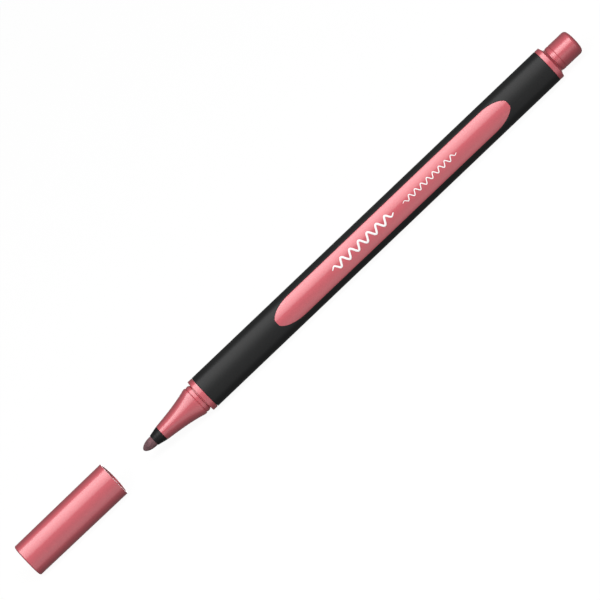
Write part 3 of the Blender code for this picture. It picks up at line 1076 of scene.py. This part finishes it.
# %% [markdown]
# ### Softboxes
#
# A glossy piece shows its lamps as stripes, so the stripes' edges are set by how the light
# fades across each softbox. The camera sees a lamp where the surface leans half as far from
# the printed face as the lamp does. A gradient image could hold the fade, but an area lamp's
# own nodes can do it: Parametric Y runs from 0 to 1 across the lamp, a colour ramp turns it
# into a share of the peak radiance, and that sets the emission's strength.

# %% Set the lights
LAMP_DISTANCE = 0.75
LAMP_LENGTH = 1.1
ROOM_RADIANCE = 0.22

# (degrees, radiance) across each softbox, from the printed face's middle, upwards.
KEY_GLOW = [
    (7, 1.3), (10, 1.9), (15, 2.65), (24, 3.8), (33, 5.0),
    (39, 5.1), (45, 4.55), (51, 2.3), (57, 0.6), (62, 0),
]
FILL_GLOW = [
    (-58, 0.03), (-45, 0.32), (-39, 0.60), (-33, 0.87),
    (-27, 0.83), (-15, 0.39), (-9, 0.20), (4, 0.12),
]
BOUNCE_GLOW = [(166, 0), (174, 2.2), (186, 2.2), (194, 0)]


def softbox(name, glow):
    """A long lamp parallel to the pen, brightest where its tube is and fading to its edges."""
    low, high = [PRINTED_FACE + math.radians(angle) for angle, _ in (glow[0], glow[-1])]
    middle = (low + high) / 2
    half = (high - low) / 2
    towards = Vector((0, math.sin(middle), math.cos(middle)))
    across = Vector((0, towards.z, -towards.y))
    lamp = bpy.data.lights.new(name, "AREA")
    lamp.shape = "RECTANGLE"
    lamp.size = LAMP_LENGTH
    lamp.size_y = 2 * LAMP_DISTANCE * math.tan(half)
    peak = max(radiance for _, radiance in glow)
    lamp.energy = peak * math.pi * lamp.size * lamp.size_y
    lamp.use_nodes = True
    tree = lamp.node_tree
    place = add(tree, "NewGeometry").outputs["Parametric"]
    share = add(tree, "SeparateXYZ", {"Vector": place}).outputs["Y"]
    ramp = add(tree, "ValToRGB", {"Fac": share})
    stops = ramp.color_ramp.elements
    leans = [PRINTED_FACE + math.radians(angle) - middle for angle, _ in glow]
    for lean in leans[1:-1]:
        stops.new((1 + math.tan(lean) / math.tan(half)) / 2)
    for stop, (_, radiance) in zip(stops, glow):
        stop.color = (*[radiance / peak] * 3, 1)
    tree.links.new(ramp.outputs["Color"], tree.nodes["Emission"].inputs["Strength"])
    obj = bpy.data.objects.new(name, lamp)
    facing = Matrix((Vector((1, 0, 0)), across, towards)).transposed()
    centre = towards * LAMP_DISTANCE + Vector((0, 0, axis_height))
    obj.matrix_world = Matrix.Translation(centre) @ facing.to_4x4()
    obj.visible_camera = False
    bpy.context.scene.collection.objects.link(obj)
    print(name, "is", round(lamp.size_y, 2), "m across, with", len(stops), "stops")


softbox("key", KEY_GLOW)
softbox("fill", FILL_GLOW)
softbox("bounce", BOUNCE_GLOW)

world = bpy.data.worlds.new("studio_room")
world.use_nodes = True
room = world.node_tree.nodes["Background"]
room.inputs["Color"].default_value = (1, 1, 1, 1)
room.inputs["Strength"].default_value = ROOM_RADIANCE
bpy.context.scene.world = world
bpy.context.scene.view_settings.view_transform = "Standard"

# %% [markdown]
# ### Camera
#
# Small products are shown through a long lens from far away, so that their sides stay
# parallel. The camera could be aimed by dragging it, but one matrix says it exactly: it is
# turned about the pen to face the printed face, moved back, and rolled on its own axis so
# that the pen runs up to the right.

# %% Place the camera
CAMERA_DISTANCE = 0.970
FRAME_WIDTH = 150 * MM
SENSOR = 36.0
CAMERA_TURN = math.radians(-43.61)
CAMERA_SHIFT_X = -0.09 * MM
CAMERA_SHIFT_UP = 0.26 * MM


def make_camera():
    """A long lens square to the printed face, turned so that the pen runs up to the right."""
    camera = bpy.data.cameras.new("camera")
    camera.sensor_width = SENSOR
    camera.lens = SENSOR * CAMERA_DISTANCE / FRAME_WIDTH
    camera.clip_start = 0.05
    camera.clip_end = 10
    obj = bpy.data.objects.new("camera", camera)
    tilt = Matrix.Rotation(-PRINTED_FACE, 4, "X")
    place = Matrix.Translation((CAMERA_SHIFT_X, CAMERA_SHIFT_UP, CAMERA_DISTANCE))
    turn = Matrix.Rotation(CAMERA_TURN, 4, "Z")
    obj.matrix_world = Matrix.Translation((0, 0, axis_height)) @ tilt @ place @ turn
    bpy.context.scene.collection.objects.link(obj)
    bpy.context.scene.camera = obj
    return camera


print("lens:", round(make_camera().lens, 1), "mm")
